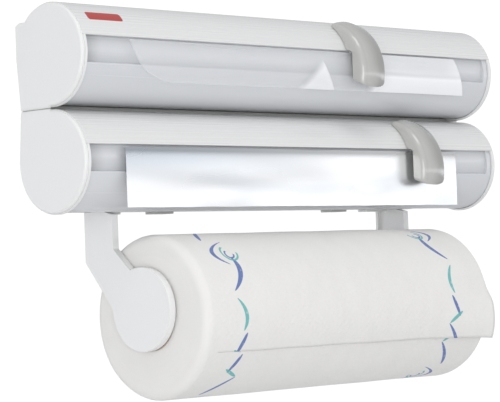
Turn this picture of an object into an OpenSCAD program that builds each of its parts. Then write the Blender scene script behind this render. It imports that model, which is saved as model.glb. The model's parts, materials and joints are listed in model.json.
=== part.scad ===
// Wall-mounted kitchen dispenser: a cling film tube above an aluminium foil tube, and a kitchen
// paper roll hanging between two arms below them.
// X runs along the tubes, -Y faces the user and the wall is the plane Y = 0. Z = 0 lies midway
// between the two tubes. Profiles are drawn in a tube's own plane as [y, z], with the tube's axis
// at [0, 0]. Angles are in degrees above the tube's front: 90 is its top and 180 is its back.

/* [Tubes] */
// Length over the end caps
overall_length = 374; // [360:1:400]
// Outer radius of a tube
tube_r = 31; // [31:0.1:31.5]
// Gap between the two tubes
tube_gap = 1.4; // [1.4:0.1:3]
// Wall thickness of a tube shell
shell_wall = 1.2; // [1.1:0.1:1.3]
// Thickness of an end cap
cap_t = 2; // [2:0.5:3]

/* [Doors] */
// Angle of the shell's lip above the dispensing slot
lip_angle = 17.5; // [17.5:0.5:18]
// Angle of a door's top edge, behind the shell's lip
door_top = 20; // [19:0.5:20.5]
// Angle of the ledge under the finger recess
ledge_angle = -13.5; // [-18:0.5:-12]
// Angle of a door's bottom edge, behind the tube's lowest line
door_bottom = -115; // [-116:1:-105]
// Depth of the finger recess above its ledge
recess_depth = 2.9; // [2:0.1:2.9]
// Thickness of a door's skin
door_wall = 1.6; // [1.4:0.1:1.8]

/* [Rolls of film and foil] */
// Width of a roll
film_width = 300; // [290:1:302]
// Radius of the wound cling film
cling_r = 19; // [16:0.5:19]
// Radius of the wound foil
foil_r = 17.5; // [16:0.5:19]
// Outer radius of a cardboard core
core_r = 15; // [14:0.5:15]
// Sideways place of the foil roll in its tube
foil_shift = -7; // [-10:1:10]
// Height of the foil that hangs out of the slot, below the tube's axis
foil_drop = 28.2; // [20:0.1:40]
// Angle at which the cling film that hugs the tube ends
cling_end = -34; // [-60:1:-20]

/* [Cutters] */
// Width of a cutter
cutter_w = 22.5; // [20:0.5:26]
// Radius of a cutter's outer curve
cutter_r = 34.7; // [34:0.1:35.5]
// Height of a cutter's bottom edge below the tube's axis
cutter_drop = 15; // [12:0.5:18]
// Place of the upper cutter along the tube
upper_cutter_x = 50; // [-100:1:120]
// Place of the lower cutter along the tube
lower_cutter_x = 106; // [-100:1:120]

/* [Paper roll] */
// Radius of the paper roll
paper_r = 50; // [45:0.5:50]
// Width of the paper roll
paper_width = 259; // [240:1:259]
// Radius of the bore of its cardboard core
paper_bore_r = 18.5; // [18.5:0.5:22]
// Radius of the hubs that the paper roll hangs on
hub_r = 13; // [11:0.1:13]
// Thickness of an arm
arm_t = 4.8; // [4:0.1:5]
// Radius of the round lower end of an arm
arm_disc_r = 25.1; // [24:0.1:26]

/* [Wall bracket] */
// Distance between the two wall screws
screw_spacing = 200; // [190:1:240]
// Radius of a wall screw's hole
screw_hole_r = 2.5; // [2:0.1:3]
// Thickness of the bracket's plate
plate_t = 3; // [2.5:0.5:3]

/* [Hidden] */
$fn = 96;

// Colours
WHITE = "#e6e5e1";
SHELL = "#dddcd7";
PANEL = "#cdd1d6";
GREY = "#b4b3ad";
STEEL = "#c3c7ca";
CARD = "#b89468";

// Levels of the two tubes
UPPER = 1;
LOWER = -1;

// Clearances
gap = 0.3;
run_fit = 0.06;
slide_fit = 0.1;

axis_z = tube_r + tube_gap / 2;
cap_r = tube_r - 0.5;
cap_rim = 1.5;
hoop_w = 1.6;
groove_w = 0.4;
half_length = overall_length / 2;
shell_end = half_length - cap_t;
shell_in = tube_r - shell_wall;
door_out = shell_in - gap;
door_in = door_out - door_wall;
recess_out = door_out - recess_depth;
recess_top_r = door_out - 1.1;
recess_floor_t = 1.5;
recess_in = recess_out - recess_floor_t;
ledge_span = 3.6;

// Door ends and the bosses they turn on
door_end = shell_end - gap;
flange_t = 2.4;
boss_r = 12;
boss_end = shell_end - 4;
collar_r = 16;
end_block = 3.3;
axle_r = 4;
axle_depth = 3.5;
door_turn = 90;
spigot_end = 360 + door_bottom - door_turn - 2;

// Sheets of film and foil
sheet_t = 0.3;
sheet_turn_r = recess_top_r + 0.3;
sheet_turn_angle = door_top + 1.4;
foil_plane = tube_r + 0.45;

// Cutter
cutter_centre = [-9.8, -5];
cutter_wall = 1.6;
cutter_back = tube_r + 4;
hook_in = shell_in - 0.8;
hook_low = lip_angle - 2.25;
hook_high = lip_angle - 0.55;
sheet_angle = hook_low - 0.85;
cutter_top = 57;
shoe_w = 12;
shoe_fit = 0.15;
blade_t = 0.5;

// Arm bar and its sleeves, under the back of the lower tube
bar_size = 5;
bar_y = 24.3;
bar_z = -28.8;
bar_half = 160;
sleeve_wall = 1.4;
sleeve_y = bar_y - slide_fit - sleeve_wall;
sleeve_z = bar_z - slide_fit - sleeve_wall;
sleeve_size = bar_size + 2 * (slide_fit + sleeve_wall);
sleeve_length = 18;

// Arms and paper roll, placed from the lower tube's axis
hub_centre = [-18.5, -88.6];
paper_centre = [-20, -93.7];
left_arm_in = -132.7;
right_arm_in = 128.5;
paper_left = left_arm_in + 1;
paper_core_r = paper_bore_r + 1;
arm_front = 5;
arm_back = tube_r - gap;
rim_w = 2;
skin_t = 2;
arm_outline = [
  [arm_front, sleeve_z + sleeve_size], [arm_front, -51.8], [-10.5, -65.9],
  [-10.2, -108.9], [arm_back, -59.4], [arm_back, sleeve_z + sleeve_size]
];

// Bracket, in the model's own frame
plate_half = screw_spacing / 2 + 15;
plate_low = -12.8;
plate_high = 16;
hook_x = 60;
bracket_hook_w = 24;
hook_t = 3;
hook_reach = 6;
hook_lift = 4.8;
tab_t = 2.4;
tab_h = 4;
spine_half = shell_end - gap;
spine_front = 10;
spine_back = tube_r - plate_t - gap;
spine_rear_wall = 2.7;
cusp_angle = 128;
spine_screw_xs = [-78, 0, 78];

// A point of a tube's profile at a radius and an angle
function polar(r, t) = [-r * cos(t), r * sin(t)];

function unit(v) = v / norm(v);

function left_normal(a, b) = let (d = unit(b - a)) [-d.y, d.x];

// An outline listed anticlockwise, with every edge moved inwards by d
function inset(pts, d) = [
  for (i = [0:len(pts) - 1])
    let (
      before = left_normal(pts[(i + len(pts) - 1) % len(pts)], pts[i]),
      after = left_normal(pts[i], pts[(i + 1) % len(pts)])
    )
    pts[i] + d * (before + after) / (1 + before * after)
];

module at_tube(level) translate([0, -tube_r, level * axis_z]) children();

// Extrudes a [y, z] profile along X
module along_x(from, to) {
  translate([from, 0, 0]) rotate([90, 0, 90]) linear_extrude(to - from) children();
}

module wedge(a1, a2) {
  steps = 8;
  reach = 4 * tube_r;
  polygon(concat([[0, 0]], [for (i = [0:steps]) polar(reach, a1 + (a2 - a1) * i / steps)]));
}

module band(r_in, r_out, a1, a2) {
  intersection() {
    difference() {
      circle(r_out);
      circle(r_in);
    }
    wedge(a1, a2);
  }
}

// One side of a strip that follows a path, d to the left of it
function strip_side(path, d) = [
  for (i = [0:len(path) - 1])
    let (
      before = left_normal(path[max(i - 1, 0)], path[max(i, 1)]),
      after = left_normal(path[min(i, len(path) - 2)], path[min(i + 1, len(path) - 1)])
    )
    path[i] + d * (before + after) / (1 + before * after)
];

function reversed(pts) = [for (i = [len(pts) - 1:-1:0]) pts[i]];

module strip(path, t) {
  polygon(concat(strip_side(path, t / 2), reversed(strip_side(path, -t / 2))));
}

module rod_x(r, from, to) translate([from, 0, 0]) rotate([0, 90, 0]) cylinder(r = r, h = to - from);

// Countersunk screws that hold the shells to the spine, with their heads flush inside the shells
module spine_screw(t) {
  rotate([-t, 0, 0]) rotate([90, 0, 0]) {
    translate([0, 0, shell_in - 0.2]) cylinder(r1 = 3.1, r2 = 1.5, h = 1.6);
    translate([0, 0, shell_in + 1.2]) cylinder(r = 1.5, h = 5.4);
  }
}

module spine_screw_set(level) {
  for (x = spine_screw_xs) translate([x, 0, 0]) spine_screw(level == UPPER ? -cusp_angle : cusp_angle);
}

module spine_screws() {
  color(STEEL) for (level = [UPPER, LOWER]) at_tube(level) intersection() {
    spine_screw_set(level);
    along_x(-half_length, half_length) difference() {
      circle(tube_r + 10);
      circle(shell_in);
    }
  }
}

// Label recess, near the left end of the upper tube's top
module label_zone(r_in, r_out) {
  label = [27, 6.6];
  corner = 1.6;
  intersection() {
    along_x(-shell_end, 0) band(r_in, r_out, 30, 56);
    rotate([-43, 0, 0]) rotate([90, 0, 0]) translate([-162.5, 0, 0]) linear_extrude(2 * tube_r) {
      square([label.x - 2 * corner, label.y], center = true);
      square([label.x, label.y - 2 * corner], center = true);
      for (x = [-1, 1], y = [-1, 1])
        translate([x * (label.x / 2 - corner), y * (label.y / 2 - corner)]) circle(corner);
    }
  }
}

module shell(level) {
  at_tube(level) difference() {
    along_x(-shell_end, shell_end) band(shell_in, tube_r, lip_angle, 360 + door_bottom);
    spine_screw_set(level);
    if (level == UPPER) label_zone(tube_r - 0.3, tube_r + 1);
  }
}

module upper_shell() color(SHELL) shell(UPPER);

module lower_shell() color(SHELL) shell(LOWER);

module blank_label() color("#b8352f") at_tube(UPPER) label_zone(tube_r - 0.3, tube_r);

// End caps: a disc with a rounded rim, squared at the back where it meets the wall and its neighbour
function cap_back(level) =
  let (rear = tube_r - 0.2, seam = axis_z - gap / 2)
  level == UPPER
    ? [[0, 21.3], [0, -cap_r], [2, -seam], [28, -seam], [rear, 0], [rear, 19.5], [27.2, 21.3]]
    : [[0, 0], [rear, 0], [28, seam], [2, seam], [0, cap_r]];

// The hoop that closes the shell's open front at its end, with a groove between it and the disc
module cap_hoop() {
  along_x(shell_end - groove_w - hoop_w, shell_end - groove_w)
    band(shell_in, tube_r, door_bottom + 0.2, lip_angle - 0.2);
  along_x(shell_end - groove_w - 0.1, shell_end)
    band(shell_in, tube_r - 0.7, door_bottom + 0.2, lip_angle - 0.2);
}

module cap_right(level) {
  steps = 3;
  difference() {
    union() {
      translate([shell_end, 0, 0]) rotate([0, 90, 0]) rotate_extrude() {
        square([cap_r, cap_t - cap_rim]);
        square([cap_r - cap_rim, cap_t]);
        translate([cap_r - cap_rim, cap_t - cap_rim]) intersection() {
          circle(cap_rim);
          square(cap_rim);
        }
      }
      for (i = [0:steps])
        along_x(shell_end, half_length - cap_rim + cap_rim * sin(90 * i / steps))
          polygon(inset(cap_back(level), cap_rim * (1 - cos(90 * i / steps))));
      rod_x(boss_r, boss_end, shell_end);
      cap_hoop();
      along_x(boss_end - 1, shell_end) band(shell_in - 1.6, shell_in - 0.05, lip_angle + 5, spigot_end);
    }
    rod_x(axle_r + run_fit, boss_end - 1, boss_end + axle_depth + 1);
  }
}

module cap(level, side) {
  color(WHITE) at_tube(level) mirror([side == "left" ? 1 : 0, 0, 0]) cap_right(level);
}

module upper_cap_left() cap(UPPER, "left");

module upper_cap_right() cap(UPPER, "right");

module lower_cap_left() cap(LOWER, "left");

module lower_cap_right() cap(LOWER, "right");

// Doors: each turns about its tube's axis and slides round inside the shell. The floor of its finger
// recess is deepest at the ledge and rises towards the shell's lip.
module recess_floor() {
  steps = 10;
  low = ledge_angle - ledge_span / 2;
  rise = recess_top_r - recess_out;
  parts = [for (i = [0:steps]) i / steps];
  outer = [for (f = parts) polar(recess_out + rise * f, low + (door_top - low) * f)];
  inner = [for (f = parts) polar(recess_in + rise * f, low + (door_top - low) * f)];
  polygon(concat(outer, reversed(inner)));
}

module door(level) {
  at_tube(level) difference() {
    union() {
      along_x(-door_end, door_end) {
        band(door_in, door_out, door_bottom, ledge_angle);
        band(recess_in, door_out, ledge_angle - ledge_span, ledge_angle);
        recess_floor();
        band(door_in - 1.5, door_in + 0.1, door_bottom, door_bottom + 3);
      }
      for (end = [-door_end, door_end - flange_t]) along_x(end, end + flange_t) {
        band(collar_r - 1, door_out, door_bottom, door_top);
        circle(collar_r);
      }
      along_x(door_end - flange_t - end_block, door_end - flange_t)
        band(recess_in, door_out, ledge_angle - 1, door_top);
    }
    rod_x(boss_r + run_fit, -half_length, half_length);
  }
}

module upper_door() color(PANEL) door(UPPER);

module lower_door() color(PANEL) door(LOWER);

// Rolls of film and foil: wound sheet on a cardboard core, carried by two end plugs
module tube_x(r_in, r_out, from, to) {
  difference() {
    rod_x(r_out, from, to);
    rod_x(r_in, from - 1, to + 1);
  }
}

module roll_core(level, shift) {
  color(CARD) at_tube(level)
    tube_x(core_r - 1.6, core_r, shift - film_width / 2, shift + film_width / 2);
}

module roll_wound(level, shift, r) {
  at_tube(level) tube_x(core_r, r, shift - film_width / 2, shift + film_width / 2);
}

module roll_plug(level, shift, side) {
  dir = side == "left" ? -1 : 1;
  start = film_width / 2 + dir * shift;
  color(WHITE) at_tube(level) mirror([side == "left" ? 1 : 0, 0, 0]) {
    rod_x(core_r - 1.6, start - 12, start + 0.01);
    rod_x(core_r + 1, start, start + 2);
    rod_x(7, start + 1.99, boss_end - 1.5);
    rod_x(axle_r, boss_end - 1.6, boss_end + axle_depth);
  }
}

module cling_film_core() roll_core(UPPER, 0);

module cling_film_wound() color("#dfe6ea") roll_wound(UPPER, 0, cling_r);

module cling_plug_left() roll_plug(UPPER, 0, "left");

module cling_plug_right() roll_plug(UPPER, 0, "right");

module foil_core() roll_core(LOWER, foil_shift);

module foil_wound() color(STEEL) roll_wound(LOWER, foil_shift, foil_r);

module foil_plug_left() roll_plug(LOWER, foil_shift, "left");

module foil_plug_right() roll_plug(LOWER, foil_shift, "right");

// The free end of each roll leaves the wound sheet, turns over the door's top edge and hangs outside
function sheet_path(r) = [
  polar(r + 0.5, sheet_turn_angle + acos((r + 0.5) / sheet_turn_r)),
  polar(sheet_turn_r, sheet_turn_angle),
  polar(sheet_turn_r, sheet_angle)
];

module cling_film_sheet() {
  hug_r = tube_r + gap + sheet_t / 2;
  hug_step = 4;
  color("#e8eef2") at_tube(UPPER) along_x(-film_width / 2 + 1, film_width / 2 + 1) strip(concat(
    sheet_path(cling_r),
    [for (t = [sheet_angle:-hug_step:cling_end]) polar(hug_r, t)]
  ), sheet_t);
}

module foil_sheet() {
  color("#d5dade") at_tube(LOWER)
    along_x(foil_shift - film_width / 2, foil_shift + film_width / 2 - 0.5)
      strip(concat(sheet_path(foil_r), [
        polar(tube_r - 0.3, sheet_angle), [-foil_plane + 0.3, 6.9],
        [-foil_plane, 5], [-foil_plane, -foil_drop]
      ]), sheet_t);
}

// Cutters: a cowl over the slot, a shoe that hooks under the shell's lip, and a blade
module cowl_outline() {
  difference() {
    union() {
      intersection() {
        translate(cutter_centre) circle(cutter_r);
        translate([-2 * tube_r, -cutter_drop]) square([2 * tube_r, 3 * tube_r]);
      }
      band(tube_r, tube_r + 1.9, 30, cutter_top);
    }
    circle(tube_r + gap);
    translate([-cutter_back, -2 * tube_r]) square([3 * tube_r, 2 * tube_r + tube_r * sin(lip_angle) + 0.2]);
    wedge(cutter_top, cutter_top + 90);
  }
}

module cutter_body(level, x) {
  color(GREY) at_tube(level) translate([x, 0, 0]) difference() {
    along_x(-cutter_w / 2, cutter_w / 2) cowl_outline();
    along_x(-cutter_w / 2 + cutter_wall, cutter_w / 2 - cutter_wall) intersection() {
      translate(cutter_centre) circle(cutter_r - cutter_wall);
      translate([-2 * tube_r, -2 * tube_r]) square([2 * tube_r, 2 * tube_r + 22]);
    }
  }
}

module cutter_shoe(level, x) {
  color(WHITE) at_tube(level) translate([x, 0, 0]) along_x(-shoe_w / 2, shoe_w / 2) {
    difference() {
      intersection() {
        translate(cutter_centre) circle(cutter_r - cutter_wall - shoe_fit);
        wedge(hook_low, 38);
      }
      circle(tube_r + 2 * gap);
    }
    band(hook_in, tube_r + 1, hook_low, hook_high);
    band(hook_in, shell_in - gap, hook_low, hook_high + 7);
  }
}

// The blade lies flat under the shoe, with its slanting edge just outside the sheet
module cutter_blade(level, x) {
  tip = tube_r + 1.1;
  tail = tip + 7.5;
  half = shoe_w / 2 - 1;
  color(STEEL) at_tube(level) translate([x, 0, 0]) rotate([-hook_low, 0, 0])
    translate([0, 0, -blade_t]) linear_extrude(blade_t)
      polygon([[-half, -tail], [half, -tail], [half, -tip - 4], [0, -tip], [-half, -tip - 4]]);
}

module upper_cutter_body() cutter_body(UPPER, upper_cutter_x);

module upper_cutter_shoe() cutter_shoe(UPPER, upper_cutter_x);

module upper_cutter_blade() cutter_blade(UPPER, upper_cutter_x);

module lower_cutter_body() cutter_body(LOWER, lower_cutter_x);

module lower_cutter_shoe() cutter_shoe(LOWER, lower_cutter_x);

module lower_cutter_blade() cutter_blade(LOWER, lower_cutter_x);

// Arms, on a square bar under the back of the lower tube
module arm_bar() {
  color(STEEL) at_tube(LOWER) translate([-bar_half, bar_y, bar_z]) cube([2 * bar_half, bar_size, bar_size]);
}

module bar_mounts() {
  mount_w = 14;
  color(SHELL) at_tube(LOWER) for (x = [-80, 80]) along_x(x - mount_w / 2, x + mount_w / 2) difference() {
    translate([sleeve_y - 3, sleeve_z]) square([arm_back - sleeve_y + 3, sleeve_size + 4]);
    circle(tube_r);
    translate([bar_y, bar_z]) square(bar_size);
  }
}

// An arm with its skin on the side away from the roll and its sleeve towards the roll
module arm_plate() {
  hub_seat = 12;
  difference() {
    union() {
      along_x(0, arm_t) difference() {
        union() {
          polygon(arm_outline);
          translate(hub_centre) circle(arm_disc_r);
        }
        circle(tube_r + gap);
      }
      along_x(-sleeve_length, 0.01) translate([sleeve_y, sleeve_z]) square(sleeve_size);
    }
    along_x(-1, arm_t - skin_t) difference() {
      union() {
        polygon(inset(arm_outline, rim_w));
        translate(hub_centre) circle(arm_disc_r - rim_w);
      }
      circle(tube_r + gap + rim_w);
      translate(hub_centre) circle(hub_seat);
      translate([sleeve_y, sleeve_z]) square(sleeve_size);
    }
    along_x(-sleeve_length - 1, arm_t + 1) translate([bar_y - slide_fit, bar_z - slide_fit])
      square(bar_size + 2 * slide_fit);
    along_x(-1, arm_t - skin_t) translate(hub_centre) circle(8);
  }
}

// A cup-shaped hub with a spigot that fits the arm
module hub() {
  hub_length = 14;
  along_x(0, arm_t - skin_t) translate(hub_centre) circle(8);
  difference() {
    along_x(-hub_length, 0) translate(hub_centre) circle(hub_r);
    along_x(-hub_length - 1, -2) translate(hub_centre) circle(hub_r - 2);
  }
}

module on_arm(side) {
  at_tube(LOWER) if (side == "left")
    translate([left_arm_in, 0, 0]) mirror([1, 0, 0]) children();
  else
    translate([right_arm_in, 0, 0]) children();
}

module left_arm() color(WHITE) on_arm("left") arm_plate();

module right_arm() color(WHITE) on_arm("right") arm_plate();

module left_hub() color(WHITE) on_arm("left") hub();

module right_hub() color(WHITE) on_arm("right") hub();

// Paper roll
module at_paper() translate([paper_left, -tube_r + paper_centre.x, -axis_z + paper_centre.y]) children();

module paper_core() color(CARD) at_paper() tube_x(paper_bore_r, paper_core_r, 0, paper_width);

module paper_wound() {
  soft = 8;
  color("white") at_paper() rotate([0, 90, 0]) rotate_extrude() {
    translate([paper_core_r, 0]) square([paper_r - soft - paper_core_r, paper_width]);
    translate([paper_core_r, soft]) square([paper_r - paper_core_r, paper_width - 2 * soft]);
    for (x = [soft, paper_width - soft]) translate([paper_r - soft, x]) circle(soft);
  }
}

// The loose last sheet peels away from the front of the roll
module paper_tail() {
  peel_angle = 30;
  tail_angle = -25;
  tail_r = paper_r + 8;
  tail_t = 0.4;
  color("white") at_paper() along_x(1, paper_width - 1)
    translate(polar(paper_r + gap + tail_t - tail_r, peel_angle))
      band(tail_r - tail_t, tail_r, tail_angle - 7, peel_angle);
}

// Wall bracket: a plate with two upturned hooks
module wall_bracket() {
  color(STEEL) difference() {
    union() {
      translate([-plate_half, -plate_t, plate_low]) cube([2 * plate_half, plate_t, plate_high - plate_low]);
      for (x = [-hook_x, hook_x]) translate([x - bracket_hook_w / 2, -plate_t - hook_reach, -hook_t]) {
        cube([bracket_hook_w, hook_reach + 0.01, hook_t]);
        cube([bracket_hook_w, tab_t, hook_t + tab_h]);
      }
    }
    for (x = [-1, 1]) translate([x * screw_spacing / 2, 0, 0]) rotate([90, 0, 0])
      cylinder(r = screw_hole_r, h = 3 * plate_t, center = true);
  }
}

// Spine: fills the groove behind and between the tubes, and hangs on the bracket's hooks. Two more
// pockets clear the heads of the wall screws.
module back_spine() {
  pocket_w = bracket_hook_w + 2;
  pocket_t = 3.5;
  pocket_front = spine_back - spine_rear_wall - pocket_t;
  pocket_low = -8.5;
  head_w = 12;
  head_high = 6;
  color(GREY) difference() {
    translate([0, -tube_r, 0]) along_x(-spine_half, spine_half) difference() {
      translate([spine_front, -axis_z / 2]) square([spine_back - spine_front, axis_z]);
      for (z = [-axis_z, axis_z]) translate([0, z]) circle(tube_r);
    }
    for (x = [-hook_x, hook_x]) translate([x - pocket_w / 2, -tube_r, pocket_low]) {
      translate([0, pocket_front, 0]) cube([pocket_w, pocket_t, 5.5 - pocket_low]);
      translate([0, pocket_front, 0]) cube([pocket_w, tube_r, 0.1 - pocket_low]);
    }
    for (x = [-screw_spacing / 2, screw_spacing / 2])
      translate([x - head_w / 2, spine_back - pocket_t - tube_r, -head_high - hook_lift])
        cube([head_w, tube_r, 2 * head_high + hook_lift]);
    for (level = [UPPER, LOWER]) at_tube(level) spine_screw_set(level);
  }
}

wall_bracket();
back_spine();
spine_screws();
upper_shell();
lower_shell();
upper_cap_left();
upper_cap_right();
lower_cap_left();
lower_cap_right();
upper_door();
lower_door();
blank_label();
cling_film_core();
cling_film_wound();
cling_plug_left();
cling_plug_right();
cling_film_sheet();
foil_core();
foil_wound();
foil_plug_left();
foil_plug_right();
foil_sheet();
upper_cutter_body();
upper_cutter_shoe();
upper_cutter_blade();
lower_cutter_body();
lower_cutter_shoe();
lower_cutter_blade();
arm_bar();
bar_mounts();
left_arm();
right_arm();
left_hub();
right_hub();
paper_core();
paper_wound();
paper_tail();
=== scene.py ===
import json
import math

import bpy
from mathutils import Matrix, Vector, noise


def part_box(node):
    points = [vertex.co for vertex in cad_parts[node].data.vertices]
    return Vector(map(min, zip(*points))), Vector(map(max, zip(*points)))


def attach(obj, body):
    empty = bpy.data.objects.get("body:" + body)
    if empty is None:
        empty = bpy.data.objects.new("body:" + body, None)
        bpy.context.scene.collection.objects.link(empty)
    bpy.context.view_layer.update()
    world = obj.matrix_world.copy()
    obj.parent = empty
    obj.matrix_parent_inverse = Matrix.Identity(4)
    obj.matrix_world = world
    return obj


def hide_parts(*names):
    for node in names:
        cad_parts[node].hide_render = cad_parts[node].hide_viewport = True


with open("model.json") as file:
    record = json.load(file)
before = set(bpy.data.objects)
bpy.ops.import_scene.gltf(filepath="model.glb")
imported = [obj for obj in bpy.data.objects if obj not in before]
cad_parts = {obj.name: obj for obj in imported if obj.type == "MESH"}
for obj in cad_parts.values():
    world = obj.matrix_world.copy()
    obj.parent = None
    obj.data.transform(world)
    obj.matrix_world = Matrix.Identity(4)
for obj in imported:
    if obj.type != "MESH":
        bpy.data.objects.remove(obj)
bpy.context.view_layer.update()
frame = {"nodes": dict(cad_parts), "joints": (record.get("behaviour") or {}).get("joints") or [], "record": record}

MM = 0.001
NODES = frame["nodes"]

# Outline of a tube and its cap, in millimetres from the tube's axis. As in the CAD model, angles
# are in degrees above the tube's front: 90 is its top and 180 is its back.
TUBE_R = 31.0
DOOR_R = 29.4
LIP_ANGLE = 17.5
SLOT_ANGLE = 14.4


def joint_point(name):
    """The point that a joint turns about, in the row frame."""
    joint = next(j for j in frame["joints"] if j["name"] == name)
    return Vector(joint["pos_m"])


UPPER_AXIS = joint_point("upper_door_turn")
LOWER_AXIS = joint_point("lower_door_turn")
PAPER_AXIS = joint_point("paper_roll_spin")


def polar(axis, x_mm, radius_mm, degrees):
    """The point at a place along a tube, a radius and an angle."""
    a = math.radians(degrees)
    out, up = radius_mm * MM * math.cos(a), radius_mm * MM * math.sin(a)
    return Vector((x_mm * MM, axis.y - out, axis.z + up))


def smooth_step(low, high, value):
    """0 at low, 1 at high, and smooth between them."""
    t = min(max((value - low) / (high - low), 0.0), 1.0)
    return t * t * (3 - 2 * t)


def spread(low, high, count):
    """Evenly spaced numbers from low to high."""
    return [low + (high - low) * i / (count - 1) for i in range(count)]


# ---------------------------------------------------------------- materials

# Noise scales that the plastics share
PLASTIC_CLOUD = 9
PLASTIC_GRAIN = 900


class Maths:
    """A number in a node tree, so that a pattern can be written as a formula."""

    def __init__(self, tree, socket):
        self.tree = tree
        self.socket = socket

    def _node(self, operation, *values):
        node = self.tree.nodes.new("ShaderNodeMath")
        node.operation = operation
        for i, value in enumerate(values):
            if isinstance(value, Maths):
                self.tree.links.new(value.socket, node.inputs[i])
            else:
                node.inputs[i].default_value = value
        return Maths(self.tree, node.outputs[0])

    def __add__(self, other):
        return self._node("ADD", self, other)

    def __sub__(self, other):
        return self._node("SUBTRACT", self, other)

    def __mul__(self, other):
        return self._node("MULTIPLY", self, other)

    def __truediv__(self, other):
        return self._node("DIVIDE", self, other)

    def sin(self):
        return self._node("SINE", self)

    def absolute(self):
        return self._node("ABSOLUTE", self)

    def root(self):
        return self._node("SQRT", self)

    def fraction(self):
        return self._node("FRACT", self)

    def angle_from(self, other):
        return self._node("ARCTAN2", self, other)

    def highest(self, other):
        return self._node("MAXIMUM", self, other)

    def ramp(self, low, high):
        """0 at low, 1 at high, and smooth between them."""
        node = self.tree.nodes.new("ShaderNodeMapRange")
        node.interpolation_type = "SMOOTHSTEP"
        self.tree.links.new(self.socket, node.inputs["Value"])
        node.inputs["From Min"].default_value = low
        node.inputs["From Max"].default_value = high
        return Maths(self.tree, node.outputs["Result"])


class Look:
    """A procedural material, built on one Principled shader."""

    def __init__(self, name, **settings):
        self.material = bpy.data.materials.new(name)
        self.material.use_nodes = True
        self.tree = self.material.node_tree
        self.shader = self.tree.nodes["Principled BSDF"]
        self.place = self.tree.nodes.new("ShaderNodeTexCoord").outputs["Object"]
        for key, value in settings.items():
            self.shader.inputs[key.replace("_", " ")].default_value = value

    def stretched(self, scale):
        node = self.tree.nodes.new("ShaderNodeMapping")
        node.inputs["Scale"].default_value = scale
        self.tree.links.new(self.place, node.inputs["Vector"])
        return node.outputs["Vector"]

    def noise(self, scale, detail=3.0, stretch=(1, 1, 1)):
        node = self.tree.nodes.new("ShaderNodeTexNoise")
        node.inputs["Scale"].default_value = scale
        node.inputs["Detail"].default_value = detail
        self.tree.links.new(self.stretched(stretch), node.inputs["Vector"])
        return Maths(self.tree, node.outputs["Fac"])

    def parts(self, vector):
        node = self.tree.nodes.new("ShaderNodeSeparateXYZ")
        self.tree.links.new(vector, node.inputs[0])
        return [Maths(self.tree, node.outputs[i]) for i in range(3)]

    def coordinates(self):
        return self.parts(self.place)

    def directions(self):
        """The way that the surface faces, along X, Y and Z."""
        return self.parts(self.place.node.outputs["Normal"])

    def mix(self, amount, first, second):
        """A colour between two, each a colour or another mix."""
        node = self.tree.nodes.new("ShaderNodeMix")
        node.data_type = "RGBA"
        self.tree.links.new(amount.socket, node.inputs["Factor"])
        for socket, colour in ((node.inputs["A"], first), (node.inputs["B"], second)):
            self.put(socket, colour)
        return node.outputs["Result"]

    def put(self, socket, value):
        if isinstance(value, tuple):
            socket.default_value = (*value, 1.0)
        else:
            self.tree.links.new(value, socket)

    def colour(self, value):
        self.put(self.shader.inputs["Base Color"], value)

    def link(self, name, amount):
        self.tree.links.new(amount.socket, self.shader.inputs[name])

    def roughness(self, amount, low, high):
        node = self.tree.nodes.new("ShaderNodeMapRange")
        node.inputs["To Min"].default_value = low
        node.inputs["To Max"].default_value = high
        self.tree.links.new(amount.socket, node.inputs["Value"])
        self.tree.links.new(node.outputs["Result"], self.shader.inputs["Roughness"])

    def bump(self, *layers):
        """Each layer is a height, and how far it stands up in millimetres."""
        previous = None
        for height, depth in layers:
            node = self.tree.nodes.new("ShaderNodeBump")
            node.inputs["Distance"].default_value = depth * MM
            self.tree.links.new(height.socket, node.inputs["Height"])
            if previous:
                self.tree.links.new(previous, node.inputs["Normal"])
            previous = node.outputs["Normal"]
        self.tree.links.new(previous, self.shader.inputs["Normal"])


def shade(colour, factor):
    return tuple(c * factor for c in colour)


def clouded(look, colour):
    """A colour that is very slightly uneven."""
    return look.mix(look.noise(PLASTIC_CLOUD), shade(colour, 0.985), shade(colour, 1.01))


def die_lines(look):
    """Faint lines along X, as drawn plastic has."""
    return look.noise(700, detail=2, stretch=(0.006, 1, 1))


def moulded_plastic(name, colour, roughness, coat=0.0, drawn=False, grain=0.003):
    """Injection-moulded plastic, or drawn plastic with die lines; grain is its relief in mm."""
    look = Look(name, Coat_Weight=coat, Coat_Roughness=0.1)
    relief = die_lines(look) if drawn else look.noise(PLASTIC_GRAIN)
    look.colour(clouded(look, colour))
    look.roughness(relief, roughness - 0.04, roughness + 0.06)
    look.bump((relief, grain))
    return look.material


def cutter_plastic(name, light, dark):
    """Glossy warm grey, with painted shade on the faces that look to the right."""
    look = Look(name, Coat_Weight=1.0, Coat_Roughness=0.08)
    cloud = look.noise(PLASTIC_CLOUD)
    # Painted shade: faces that look to the right are mixed towards the dark grey, for how the light falls
    right_face_painted_shade = (look.directions()[0] + cloud * 0.1).ramp(-0.35, 0.4)
    look.colour(look.mix(right_face_painted_shade, light, dark))
    look.roughness(cloud, 0.16, 0.24)
    look.bump((look.noise(PLASTIC_GRAIN), 0.0004))
    return look.material


# The finger recess of a door has painted shade: how much everywhere, at its left end and in painted
# reflection lines along X; where the left end starts and is fully shaded along X; and the colour's factor where it
# is fully shaded
RECESS_PAINTED_SHADE = 0.05
RECESS_END_PAINTED_SHADE = 0.35
RECESS_PAINTED_REFLECTION_STREAKS = 0.14
RECESS_END = (-0.168, -0.181)
RECESS_SHADE = 0.35


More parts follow.
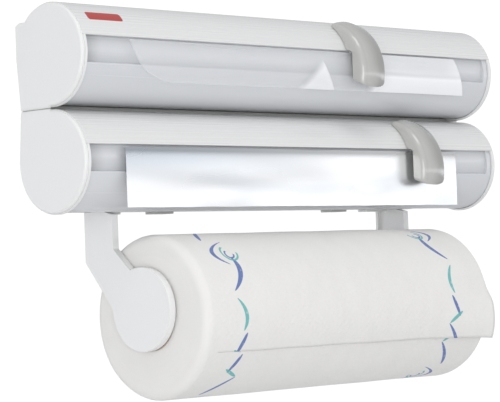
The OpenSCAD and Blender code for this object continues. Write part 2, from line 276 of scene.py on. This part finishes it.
def door_plastic(name, colour):
    """Glossy drawn plastic with painted shade in the finger recess, darkest at its left end."""
    look = Look(name, Coat_Weight=0.3, Coat_Roughness=0.1)
    x, y, z = look.coordinates()
    above = z.absolute() - UPPER_AXIS.z
    out = y - UPPER_AXIS.y
    depth = (above * above + out * out).root().ramp(DOOR_R * MM, (DOOR_R - 1) * MM)
    lines = die_lines(look)
    painted_reflection_streaks = look.noise(170, stretch=(0.01, 1, 1))
    # Painted shade in the recess, strongest at its left end, with painted reflection lines along X
    recess_painted_shade = x.ramp(*RECESS_END) * RECESS_END_PAINTED_SHADE + RECESS_PAINTED_SHADE + painted_reflection_streaks * RECESS_PAINTED_REFLECTION_STREAKS
    look.colour(look.mix(recess_painted_shade * depth, clouded(look, colour), shade(colour, RECESS_SHADE)))
    look.roughness(lines, 0.2, 0.3)
    look.bump((lines, 0.001))
    return look.material


def brushed_metal(name, colour, roughness, stretch=(0.02, 1, 1)):
    """Metal with a fine grain along the axis that is stretched, and faint stains."""
    look = Look(name, Metallic=1.0)
    grain = look.noise(2600, stretch=stretch)
    stain = look.noise(60, detail=4)
    look.colour(look.mix(stain, shade(colour, 0.9), colour))
    look.roughness(grain, roughness - 0.07, roughness + 0.1)
    look.bump((grain, 0.01))
    return look.material


def powder_coat(name, colour):
    """Painted steel with a fine orange peel."""
    look = Look(name)
    peel = look.noise(900, detail=2)
    look.colour(look.mix(look.noise(30), shade(colour, 0.95), colour))
    look.roughness(peel, 0.38, 0.52)
    look.bump((peel, 0.05))
    return look.material


def cardboard(name):
    """Wound card with a spiral seam."""
    look = Look(name)
    fibre = look.noise(700, detail=5, stretch=(1, 1, 0.25))
    x, y, z = look.coordinates()
    seam = ((x * 12 + z.angle_from(y) * 0.16).fraction() - 0.5).absolute().ramp(0.47, 0.5)
    brown = look.mix(fibre, (0.33, 0.22, 0.12), (0.50, 0.36, 0.22))
    look.colour(look.mix(seam, brown, (0.24, 0.16, 0.09)))
    look.roughness(fibre, 0.8, 0.95)
    look.bump((fibre, 0.06))
    return look.material


def wound_film(name):
    """Many layers of clear film, with faint turns and trapped air."""
    look = Look(name, Coat_Weight=0.6, Coat_Roughness=0.08, IOR=1.5)
    turns = look.noise(500, stretch=(1, 0.02, 0.02))
    air = look.noise(35, detail=4, stretch=(0.4, 1, 1))
    look.colour(look.mix(air, (0.60, 0.68, 0.72), (0.78, 0.84, 0.87)))
    look.roughness(turns, 0.12, 0.3)
    look.bump((turns, 0.03), (air, 0.2))
    return look.material


# A painted reflection on the clear film is a triangle: its peak along X in mm, the angle of its peak
# above the tube's front, and the angle from there down to its foot
PAINTED_REFLECTION_X = 14
PAINTED_REFLECTION_ANGLE = 5.5
PAINTED_REFLECTION_HEIGHT = 36.0


def clear_film(name):
    """Clear film, nearly unseen where it lies flat, with painted reflections where it is made whiter."""
    look = Look(name, Roughness=0.09, IOR=1.45)
    x, y, z = look.coordinates()
    across = x * 1000
    below = (z - UPPER_AXIS.z).angle_from((y - UPPER_AXIS.y) * -1) * math.degrees(-1)
    # Painted reflection: the film is more opaque, so whiter, in a triangle below the slot
    fold_and_painted_glare = (below + PAINTED_REFLECTION_ANGLE) / PAINTED_REFLECTION_HEIGHT
    left_side = (across - PAINTED_REFLECTION_X + fold_and_painted_glare * 20).ramp(-1, 9)
    right_side = (fold_and_painted_glare * 15 + PAINTED_REFLECTION_X - across).ramp(0, 1.5)
    painted_reflection_triangle = left_side * right_side * fold_and_painted_glare.ramp(0.0, 0.12)
    ripple = look.noise(7, detail=2, stretch=(0.35, 1, 1.6))
    # Painted reflection: the film is whiter at its right end, more so lower down
    right_end_painted_reflection = across.ramp(58, 70) * (below.ramp(8, 14) * 0.32 + 0.3 + ripple * 0.12)
    veil = ripple.ramp(0.35, 0.7) * 0.14 + 0.24
    look.link("Alpha", veil + painted_reflection_triangle * 0.55 + right_end_painted_reflection)
    look.colour(look.mix(ripple, (0.93, 0.94, 0.96), (0.97, 0.975, 0.985)))
    look.bump((ripple, 0.6), (look.noise(55, detail=2, stretch=(1, 0.3, 0.3)), 0.03))
    return look.material


def bright_foil(name):
    """Rolled foil: a soft mirror with shallow waves, and painted shade at its top left and in clouds."""
    look = Look(name, Metallic=0.85)
    x, _, z = look.coordinates()
    wave = look.noise(7, detail=2, stretch=(0.5, 1, 1))
    # Painted shadow in soft clouds
    cloud = look.noise(15, detail=1, stretch=(0.7, 1, 2.2)).ramp(0.48, 0.7) * 0.5
    # Painted shade at the top left
    top_left_painted_shade = x.ramp(0.06, -0.15) * (z - LOWER_AXIS.z).ramp(-0.018, 0.006)
    # The foil's own grey, and the grey of its painted shade
    look.colour(look.mix(top_left_painted_shade.highest(cloud), (0.79, 0.795, 0.80), (0.52, 0.56, 0.60)))
    look.roughness(wave, 0.24, 0.3)
    look.bump((wave, 0.8))
    return look.material


# The paper's print and embossing, in millimetres: the roll's radius, the middle of the roll along
# X, and each border's distance from it. The border repeats this often round the roll. The embossed
# dots have this many radians in a millimetre, and fade out towards the roll's ends.
PAPER_MID_R = 50.0
BORDER_MIDDLE = -5.5
BORDER_OFFSET = 98.5
BORDER_REPEATS = 3
DOTS_PITCH = 1.25
DOTS_END = (127, 121)
# The printed border's strokes: start and end round the roll as parts of one repeat, start and end
# across in millimetres, how far the stroke bows, its half width, and whether it is blue
STROKES = (
    (0.02, 0.22, -9.0, -2.5, 12.0, 1.6, True),
    (0.17, 0.39, -6.0, 2.5, -5.0, 2.0, True),
    (0.43, 0.62, 2.0, -2.0, -4.0, 1.5, False),
    (0.63, 0.76, -5.0, 1.0, 0.0, 1.5, True),
    (0.73, 0.80, 3.0, -8.0, 0.0, 2.2, False),
    (0.80, 1.00, -9.0, 5.0, 2.0, 1.6, True),
)
# The border's round curls: place round the roll and across, radius, half width, and whether it
# is blue
CURLS = (
    (0.13, -7.0, 6.0, 0.7, False),
    (0.14, -6.5, 3.2, 0.6, True),
)


def stroke(across, turn, start, end, first, last, bow, half_width):
    """A mask of one tapering brush stroke."""
    u = (turn - start) / (end - start)
    arch = u * (u * -1 + 1) * 4
    middle = u * (last - first) + arch * bow + first
    edge = arch.highest(0).root() * half_width - (across - middle).absolute()
    return edge.ramp(-0.2, 0.2) * arch.ramp(0.0, 0.06)


def curl(across, turn, place, centre, radius, half_width):
    """A mask of an open ring."""
    along = (turn - place) * (math.tau * PAPER_MID_R / BORDER_REPEATS)
    beside = across - centre
    edge = ((along * along + beside * beside).root() - radius).absolute() * -1 + half_width
    opening = (along + beside * 0.6 + radius * 0.7).ramp(0.0, 0.8)
    return edge.ramp(-0.2, 0.2) * opening


def kitchen_paper(name, shift):
    """Soft embossed paper, with brush strokes printed as a border near each end.

    The shift turns the border round the roll, in parts of one repeat.
    """
    look = Look(name, Sheen_Weight=0.15)
    x, y, z = look.coordinates()
    angle = (z - PAPER_AXIS.z).angle_from((y - PAPER_AXIS.y) * -1)
    round_the_roll = angle * PAPER_MID_R
    rows = (x * 1000 * DOTS_PITCH).sin() * (round_the_roll * DOTS_PITCH).sin()
    from_middle = (x * 1000 - BORDER_MIDDLE).absolute()
    dots = rows.ramp(0.1, 0.75) * from_middle.ramp(*DOTS_END)
    fibre = look.noise(900, detail=5)
    crumple = look.noise(60, detail=4, stretch=(1.6, 0.8, 0.8))
    paper = look.mix(crumple, (0.775, 0.765, 0.742), (0.825, 0.815, 0.79))
    ink_wear = look.noise(420).ramp(0.1, 0.45)
    across = from_middle - BORDER_OFFSET
    side = x.ramp(-0.001, 0.001) * 0.15
    turn = (angle * (-BORDER_REPEATS / math.tau) + side + (shift + BORDER_REPEATS)).fraction()
    marks = [(stroke(across, turn, *shape), blue) for *shape, blue in STROKES]
    marks += [(curl(across, turn, *shape), blue) for *shape, blue in CURLS]
    for mask, blue in marks:
        ink = (0.06, 0.13, 0.40) if blue else (0.10, 0.44, 0.44)
        paper = look.mix(mask * ink_wear * 0.9, paper, ink)
    look.colour(paper)
    look.roughness(fibre, 0.85, 0.98)
    look.bump((crumple, 0.35), (dots, 0.08), (fibre, 0.03))
    return look.material


WHITE = moulded_plastic("white_plastic", (0.815, 0.815, 0.81), 0.34)
SHELL = moulded_plastic("shell_plastic", (0.765, 0.765, 0.757), 0.26, coat=0.35, drawn=True,
                        grain=0.0003)
PANEL = door_plastic("panel_plastic", (0.675, 0.688, 0.71))
GREY = moulded_plastic("grey_plastic", (0.55, 0.55, 0.54), 0.5)
# The cutter's lit grey, and the grey of its painted shade on the faces that look to the right
CUTTER = cutter_plastic("cutter_plastic", (0.50, 0.50, 0.475), (0.31, 0.31, 0.293))
STEEL = brushed_metal("zinc_steel", (0.62, 0.63, 0.65), 0.35)
BLADE = brushed_metal("blade_steel", (0.75, 0.76, 0.78), 0.22, stretch=(1, 0.03, 1))
BRACKET = powder_coat("bracket_coat", (0.62, 0.62, 0.61))
LABEL = moulded_plastic("label_film", (0.46, 0.035, 0.03), 0.3, coat=0.4)
CARD = cardboard("cardboard")
CLING = wound_film("wound_cling_film")
CLEAR = clear_film("clear_film")
FOIL = bright_foil("foil")
PAPER = kitchen_paper("kitchen_paper", 0.4)
LAST_SHEET = kitchen_paper("kitchen_paper_last_sheet", 0.53)

SLOT_LOOKS = {
    "white_plastic": WHITE, "shell_plastic": SHELL, "panel_plastic": PANEL, "grey_plastic": GREY,
    "cutter_plastic": CUTTER, "steel": STEEL, "bracket_steel": BRACKET, "blade_steel": BLADE,
    "label": LABEL, "card": CARD, "cling_film": CLING, "clear_film": CLEAR, "foil": FOIL,
    "kitchen_paper": PAPER,
}


def dress_cad_nodes():
    """Gives every CAD node the material of its slot."""
    slots = {s["node"]: s["material_slot"] for s in frame["record"]["subparts"]}
    for name, piece in NODES.items():
        piece.data.materials.clear()
        piece.data.materials.append(SLOT_LOOKS[slots[name]])


def round_edges(piece, width_mm, degrees):
    """Rounds the edges that turn by more than an angle."""
    bevel = piece.modifiers.new("bevel", "BEVEL")
    bevel.width = width_mm * MM
    bevel.segments = 3
    bevel.limit_method = "ANGLE"
    bevel.angle_limit = math.radians(degrees)
    bevel.harden_normals = True


def soften_node(node, width_mm):
    """Rounds a CAD node's sharp edges with modifiers, which leave its own mesh alone."""
    weld = NODES[node].modifiers.new("weld", "WELD")
    weld.merge_threshold = 0.00001
    round_edges(NODES[node], width_mm, 40)


# ---------------------------------------------------------------- pieces


def new_piece(name, vertices, faces, look, body, replaced):
    """A smooth visible piece that rides on a body and takes the place of a CAD node."""
    mesh = bpy.data.meshes.new(name)
    mesh.from_pydata([tuple(v) for v in vertices], [], faces)
    mesh.validate()
    mesh.materials.append(look)
    piece = bpy.data.objects.new(name, mesh)
    bpy.context.collection.objects.link(piece)
    mesh.shade_smooth()
    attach(piece, body)
    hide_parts(replaced)
    return piece


def grid_faces(rows, columns, close_rows=False, close_columns=False):
    """Four-sided faces between neighbouring points of a grid, which may close on itself."""
    faces = []
    for r in range(rows if close_rows else rows - 1):
        for c in range(columns if close_columns else columns - 1):
            r2, c2 = (r + 1) % rows, (c + 1) % columns
            faces.append((r * columns + c, r * columns + c2, r2 * columns + c2, r2 * columns + c))
    return faces


def thicken(piece, thickness_mm, offset=-1.0):
    """Gives a surface a thickness: inwards at an offset of -1, outwards at 1."""
    solid = piece.modifiers.new("solid", "SOLIDIFY")
    solid.thickness = thickness_mm * MM
    solid.offset = offset
    solid.use_even_offset = True


# The cutter's outer curve is an arc about this centre, and lies on the shell where that is higher
COWL_CENTRE = (-9.8, -5.0)
COWL_R = 34.7
COWL_ON_SHELL = 32.9
COWL_TOP_ANGLE = 57.0
COWL_LOW_ANGLE = -19.1
COWL_BACK = 35.0
COWL_WALL = 1.4
# The roundness of its long edges and of its lower corners, and how far its middle stands up
COWL_SHOULDER = 3.4
COWL_CORNER = 3.2
COWL_CROWN = 1.3


def cowl_radius(degrees):
    """The cowl's outer radius about the tube's axis, blended where the two curves meet."""
    a = math.radians(degrees)
    along = -COWL_CENTRE[0] * math.cos(a) + COWL_CENTRE[1] * math.sin(a)
    arc = along + math.sqrt(along ** 2 - COWL_CENTRE[0] ** 2 - COWL_CENTRE[1] ** 2 + COWL_R ** 2)
    blend = 0.6
    gap = arc - COWL_ON_SHELL
    return COWL_ON_SHELL + (gap + math.sqrt(gap * gap + blend)) / 2


def cowl_inner_radius(degrees):
    """Where the cowl's side walls end: on the shell, or at a plane in front of the slot."""
    on_shell = TUBE_R + 0.4
    in_front = COWL_BACK / math.cos(math.radians(degrees)) if degrees < 40 else on_shell
    blend = smooth_step(LIP_ANGLE + 1.5, LIP_ANGLE - 5.5, degrees)
    return on_shell + (in_front - on_shell) * blend


def make_cowl(name, node, body, axis):
    """A curved cowl with rounded shoulders, open at its back and underneath."""
    low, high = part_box(node)
    middle = (low.x + high.x) / 2 / MM
    half_width = (high.x - low.x) / 2 / MM
    rows = spread(COWL_TOP_ANGLE, COWL_LOW_ANGLE, 64)
    vertices = []
    for degrees in rows:
        outer = cowl_radius(degrees)
        inner = min(cowl_inner_radius(degrees), outer - 0.5)
        to_bottom = (degrees - COWL_LOW_ANGLE) * math.radians(1) * outer
        short = max(COWL_CORNER - to_bottom, 0)
        half = half_width - COWL_CORNER + math.sqrt(COWL_CORNER ** 2 - short ** 2)
        turn = min(COWL_SHOULDER, (outer - inner) * 0.85)
        section = [(half, inner), (half, (inner + outer - turn) / 2)]
        flat = half - turn
        for angle in spread(0, 90, 7):
            a = math.radians(angle)
            section.append((flat + turn * math.cos(a), outer - turn + turn * math.sin(a)))
        crown = [(flat * f, outer + COWL_CROWN * (1 - f * f))
                 for f in (0.85, 0.7, 0.5, 0.3, 0.15, 0)]
        side = section + crown
        whole = side + [(-x, r) for x, r in reversed(side[:-1])]
        vertices += [polar(axis, middle + x, r, degrees) for x, r in whole]
    columns = len(vertices) // len(rows)
    piece = new_piece(name, vertices, grid_faces(len(rows), columns), CUTTER, body,
                      node)
    thicken(piece, COWL_WALL)
    round_edges(piece, 0.35, 50)


# The pulled-out cling film: its lower edge's angle, its ends at the slot in millimetres, and the
# angle over which its ends are pulled in
FILM_LOW_ANGLE = -31.5
FILM_LEFT = -150.5
FILM_RIGHT = 145.5
FILM_PULL_ANGLE = 46.0


def film_edges(degrees):
    """The left and right ends of the pulled-out cling film at an angle round the tube."""
    pulled = min(max((SLOT_ANGLE - degrees) / FILM_PULL_ANGLE, 0.0), 1.0)
    return FILM_LEFT + 12 * pulled + 22 * pulled ** 5, FILM_RIGHT + 12.5 * pulled


def make_cling_sheet():
    """The free end of the cling film: out of the slot and down the front of the upper tube."""
    columns = 90
    angles = spread(SLOT_ANGLE, FILM_LOW_ANGLE, 40)
    vertices = []
    for degrees in angles:
        left, right = film_edges(degrees)
        for x in spread(left, right, columns):
            out = smooth_step(SLOT_ANGLE + 0.5, SLOT_ANGLE - 6, degrees)
            ripple = noise.noise(Vector((x * 0.018, degrees * 0.05, 3.1))) * 0.35 + 0.2
            vertices.append(polar(UPPER_AXIS, x, TUBE_R + 0.45 + out * max(ripple, -0.05), degrees))
    new_piece("cling_film_free_end", vertices, grid_faces(len(angles), columns), CLEAR,
              "dispenser", "cling_film_sheet")


def make_foil_sheet():
    """The free end of the foil: out of the slot, over its edge and straight down."""
    low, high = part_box("foil_sheet")
    columns = 120
    start = polar(LOWER_AXIS, 0, TUBE_R - 0.6, SLOT_ANGLE)
    vertices = []
    drops = spread(0, 1, 44)
    for k in drops:
        z = start.z + (low.z - start.z) * k
        fold_and_painted_glare = math.exp(-((start.z - z) / MM) / 1.3)
        for x in spread(low.x / MM, high.x / MM, columns):
            sway = noise.noise(Vector((x * 0.012, k * 1.7, 8.4))) * 0.9 * smooth_step(0.02, 0.6, k)
            edge = noise.noise(Vector((x * 0.05, 0, 2.0))) * 0.25 * k
            y = LOWER_AXIS.y - (TUBE_R + 0.75) * MM + fold_and_painted_glare * 1.4 * MM - max(sway, -0.25) * MM
            vertices.append(Vector((x * MM, y, z + edge * MM)))
    new_piece("foil_free_end", vertices, grid_faces(len(drops), columns), FOIL,
              "dispenser", "foil_sheet")


# How far the paper roll's edges are rounded, and the radius of the hole in its ends
PAPER_SHOULDER = 5.5
PAPER_BORE_R = 19.6


def paper_radius(x, degrees, radius, width_half, soft):
    """The roll's surface: slightly out of round, with soft shoulders."""
    from_end = width_half - abs(x)
    shoulder = soft - math.sqrt(max(soft ** 2 - max(soft - from_end, 0) ** 2, 0))
    a = math.radians(degrees)
    lump = noise.noise(Vector((x * 0.02, math.cos(a) * 1.6, math.sin(a) * 1.6))) * 0.35
    return radius - shoulder + lump - 0.35


def make_paper_roll():
    """The wound paper: an embossed side, soft shoulders and slightly dished end faces."""
    low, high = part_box("paper_wound")
    middle = (low.x + high.x) / 2 / MM
    half = (high.x - low.x) / 2 / MM
    radius = (high.z - low.z) / 2 / MM
    soft, around = PAPER_SHOULDER, 180
    stations = [-half + soft * (1 - math.cos(math.radians(a))) for a in spread(0, 90, 8)]
    stations += spread(-half + soft, half - soft, 60)[1:-1]
    stations += [-s for s in reversed(stations[:8])]
    face_radii = spread(PAPER_BORE_R, radius - soft, 26)[:-1]
    dished = [0.7 * smooth_step(38, 20, r) + 0.1 * noise.noise(Vector((r * 0.5, 1.0, 0.0)))
              for r in face_radii]
    rings = [(-half + d, r, False) for r, d in zip(face_radii, dished)]
    rings += [(s, radius, True) for s in stations]
    rings += [(half - d, r, False) for r, d in reversed(list(zip(face_radii, dished)))]
    vertices = []
    for s, r, surface in rings:
        for i in range(around):
            degrees = 360 * i / around
            local = paper_radius(s, degrees, r, half, soft) if surface else r
            vertices.append(polar(PAPER_AXIS, middle + s, local, degrees))
    faces = grid_faces(len(rings), around, close_rows=True, close_columns=True)
    new_piece("paper_wound_soft", vertices, faces, PAPER, "paper_roll",
              "paper_wound")


def make_paper_tail():
    """The loose last sheet: it lies on the roll, and its right corner lifts off."""
    low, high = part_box("paper_tail")
    roll_low, roll_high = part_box("paper_wound")
    middle = (roll_low.x + roll_high.x) / 2 / MM
    half = (roll_high.x - roll_low.x) / 2 / MM
    radius = (roll_high.z - roll_low.z) / 2 / MM
    angles = spread(96, -25.5, 60)
    columns = 110
    vertices = []
    for degrees in angles:
        sunk = smooth_step(86, 96, degrees) * 0.6
        loose = smooth_step(30, -26, degrees) ** 1.5
        for x in spread(low.x / MM, high.x / MM, columns):
            f = (x - low.x / MM) / (high.x / MM - low.x / MM)
            tucked = 0.6 * smooth_step(0.06, 0.0, f)
            lift = loose * (0.8 * smooth_step(0.0, 0.25, f) + 1.0 * f ** 2 + 4.4 * f ** 9)
            wave = noise.noise(Vector((x * 0.02, degrees * 0.03, 5.5))) * 0.5 * loose
            droop = noise.noise(Vector((x * 0.03, 0, 9.5))) * 0.5 * loose
            lying = paper_radius(x - middle, degrees, radius, half, PAPER_SHOULDER)
            lying += (radius - lying) * smooth_step(0.5, 3.0, lift)
            height = lying + 0.1 - max(sunk, tucked) + lift + wave * f
            vertices.append(polar(PAPER_AXIS, x, height, degrees + droop))
    piece = new_piece("paper_last_sheet", vertices, grid_faces(len(angles), columns), LAST_SHEET,
                      "paper_roll", "paper_tail")
    thicken(piece, 0.25, offset=1.0)


# ---------------------------------------------------------------- stage, light and camera


def make_world():
    """A pale room, brightest in a narrow band at eye level. The camera sees plain white."""
    strongest = 2.6
    world = bpy.data.worlds.new("studio")
    bpy.context.scene.world = world
    world.use_nodes = True
    tree = world.node_tree
    tree.nodes.clear()
    output = tree.nodes.new("ShaderNodeOutputWorld")
    lit = tree.nodes.new("ShaderNodeBackground")
    seen = tree.nodes.new("ShaderNodeBackground")
    seen.inputs["Color"].default_value = (1, 1, 1, 1)
    seen.inputs["Strength"].default_value = 1.05
    mix = tree.nodes.new("ShaderNodeMixShader")
    path = tree.nodes.new("ShaderNodeLightPath")
    coordinates = tree.nodes.new("ShaderNodeTexCoord")
    split = tree.nodes.new("ShaderNodeSeparateXYZ")
    ramp = tree.nodes.new("ShaderNodeValToRGB")
    remap = tree.nodes.new("ShaderNodeMapRange")
    remap.inputs["From Min"].default_value = -1
    tree.links.new(coordinates.outputs["Generated"], split.inputs[0])
    tree.links.new(split.outputs["Z"], remap.inputs["Value"])
    tree.links.new(remap.outputs["Result"], ramp.inputs["Fac"])
    stops = [(0.0, 0.40), (0.34, 0.56), (0.47, 0.92), (0.485, strongest),
             (0.515, strongest), (0.53, 0.92), (0.62, 0.66), (1.0, 0.74)]
    elements = ramp.color_ramp.elements
    while len(elements) < len(stops):
        elements.new(0.5)
    for element, (place, value) in zip(elements, stops):
        element.position = place
        part = value / strongest * 0.98
        element.color = (part * 0.985, part * 0.995, part * 1.02, 1)
    tree.links.new(ramp.outputs["Color"], lit.inputs["Color"])
    lit.inputs["Strength"].default_value = 0.84 * strongest
    tree.links.new(path.outputs["Is Camera Ray"], mix.inputs[0])
    tree.links.new(lit.outputs[0], mix.inputs[1])
    tree.links.new(seen.outputs[0], mix.inputs[2])
    tree.links.new(mix.outputs[0], output.inputs["Surface"])


def area_light(name, place, target, size, watts):
    data = bpy.data.lights.new(name, "AREA")
    data.shape = "RECTANGLE"
    data.size, data.size_y = size
    data.energy = watts
    lamp = bpy.data.objects.new(name, data)
    bpy.context.collection.objects.link(lamp)
    lamp.location = place
    lamp.rotation_euler = (Vector(target) - Vector(place)).to_track_quat("-Z", "Y").to_euler()


def make_floor():
    mesh = bpy.data.meshes.new("floor")
    half = 3.4
    corners = [(-half, -half, 0), (half, -half, 0), (half, half, 0), (-half, half, 0)]
    mesh.from_pydata(corners, [], [(0, 1, 2, 3)])
    look = Look("floor", Roughness=0.6)
    look.colour(look.mix(look.noise(3), (0.84, 0.84, 0.84), (0.87, 0.87, 0.87)))
    mesh.materials.append(look.material)
    floor = bpy.data.objects.new("floor", mesh)
    bpy.context.collection.objects.link(floor)
    floor.location = (0, 0, -0.9)


def make_camera():
    """The camera at the photograph's viewing angle: from the left, slightly below."""
    data = bpy.data.cameras.new("camera")
    data.sensor_width = 36
    data.lens = 157.46
    data.clip_start, data.clip_end = 0.05, 50
    camera = bpy.data.objects.new("camera", data)
    bpy.context.collection.objects.link(camera)
    yaw, pitch, roll = (math.radians(a) for a in (44.774, 1.746, -2.088))
    level = math.cos(pitch)
    forward = Vector((math.sin(yaw) * level, math.cos(yaw) * level, math.sin(pitch)))
    level_right = Vector((math.cos(yaw), -math.sin(yaw), 0))
    level_up = level_right.cross(forward)
    right = level_right * math.cos(roll) + level_up * math.sin(roll)
    up = level_up * math.cos(roll) - level_right * math.sin(roll)
    turn = Matrix((right, up, -forward)).transposed()
    camera.matrix_world = Matrix.Translation((-1.0064, -1.0205, -0.0977)) @ turn.to_4x4()
    bpy.context.scene.camera = camera


make_camera()
make_world()
make_floor()
area_light("camera_softbox", (-1.6, -1.5, -0.1), (0, 0, -0.03), (1.1, 1.3), 14)
area_light("side_softbox", (1.5, -1.5, 0.0), (0, 0, -0.03), (0.9, 1.0), 0.7)
area_light("top_softbox", (-0.3, -1.0, 1.9), (0, 0, 0), (1.6, 0.8), 10)
bpy.context.scene.view_settings.view_transform = "Standard"

dress_cad_nodes()
for node in ("left_arm", "right_arm"):
    soften_node(node, 0.5)
make_cowl("upper_cutter_cowl", "upper_cutter_body", "upper_cutter", UPPER_AXIS)
make_cowl("lower_cutter_cowl", "lower_cutter_body", "lower_cutter", LOWER_AXIS)
make_cling_sheet()
make_foil_sheet()
make_paper_roll()
make_paper_tail()
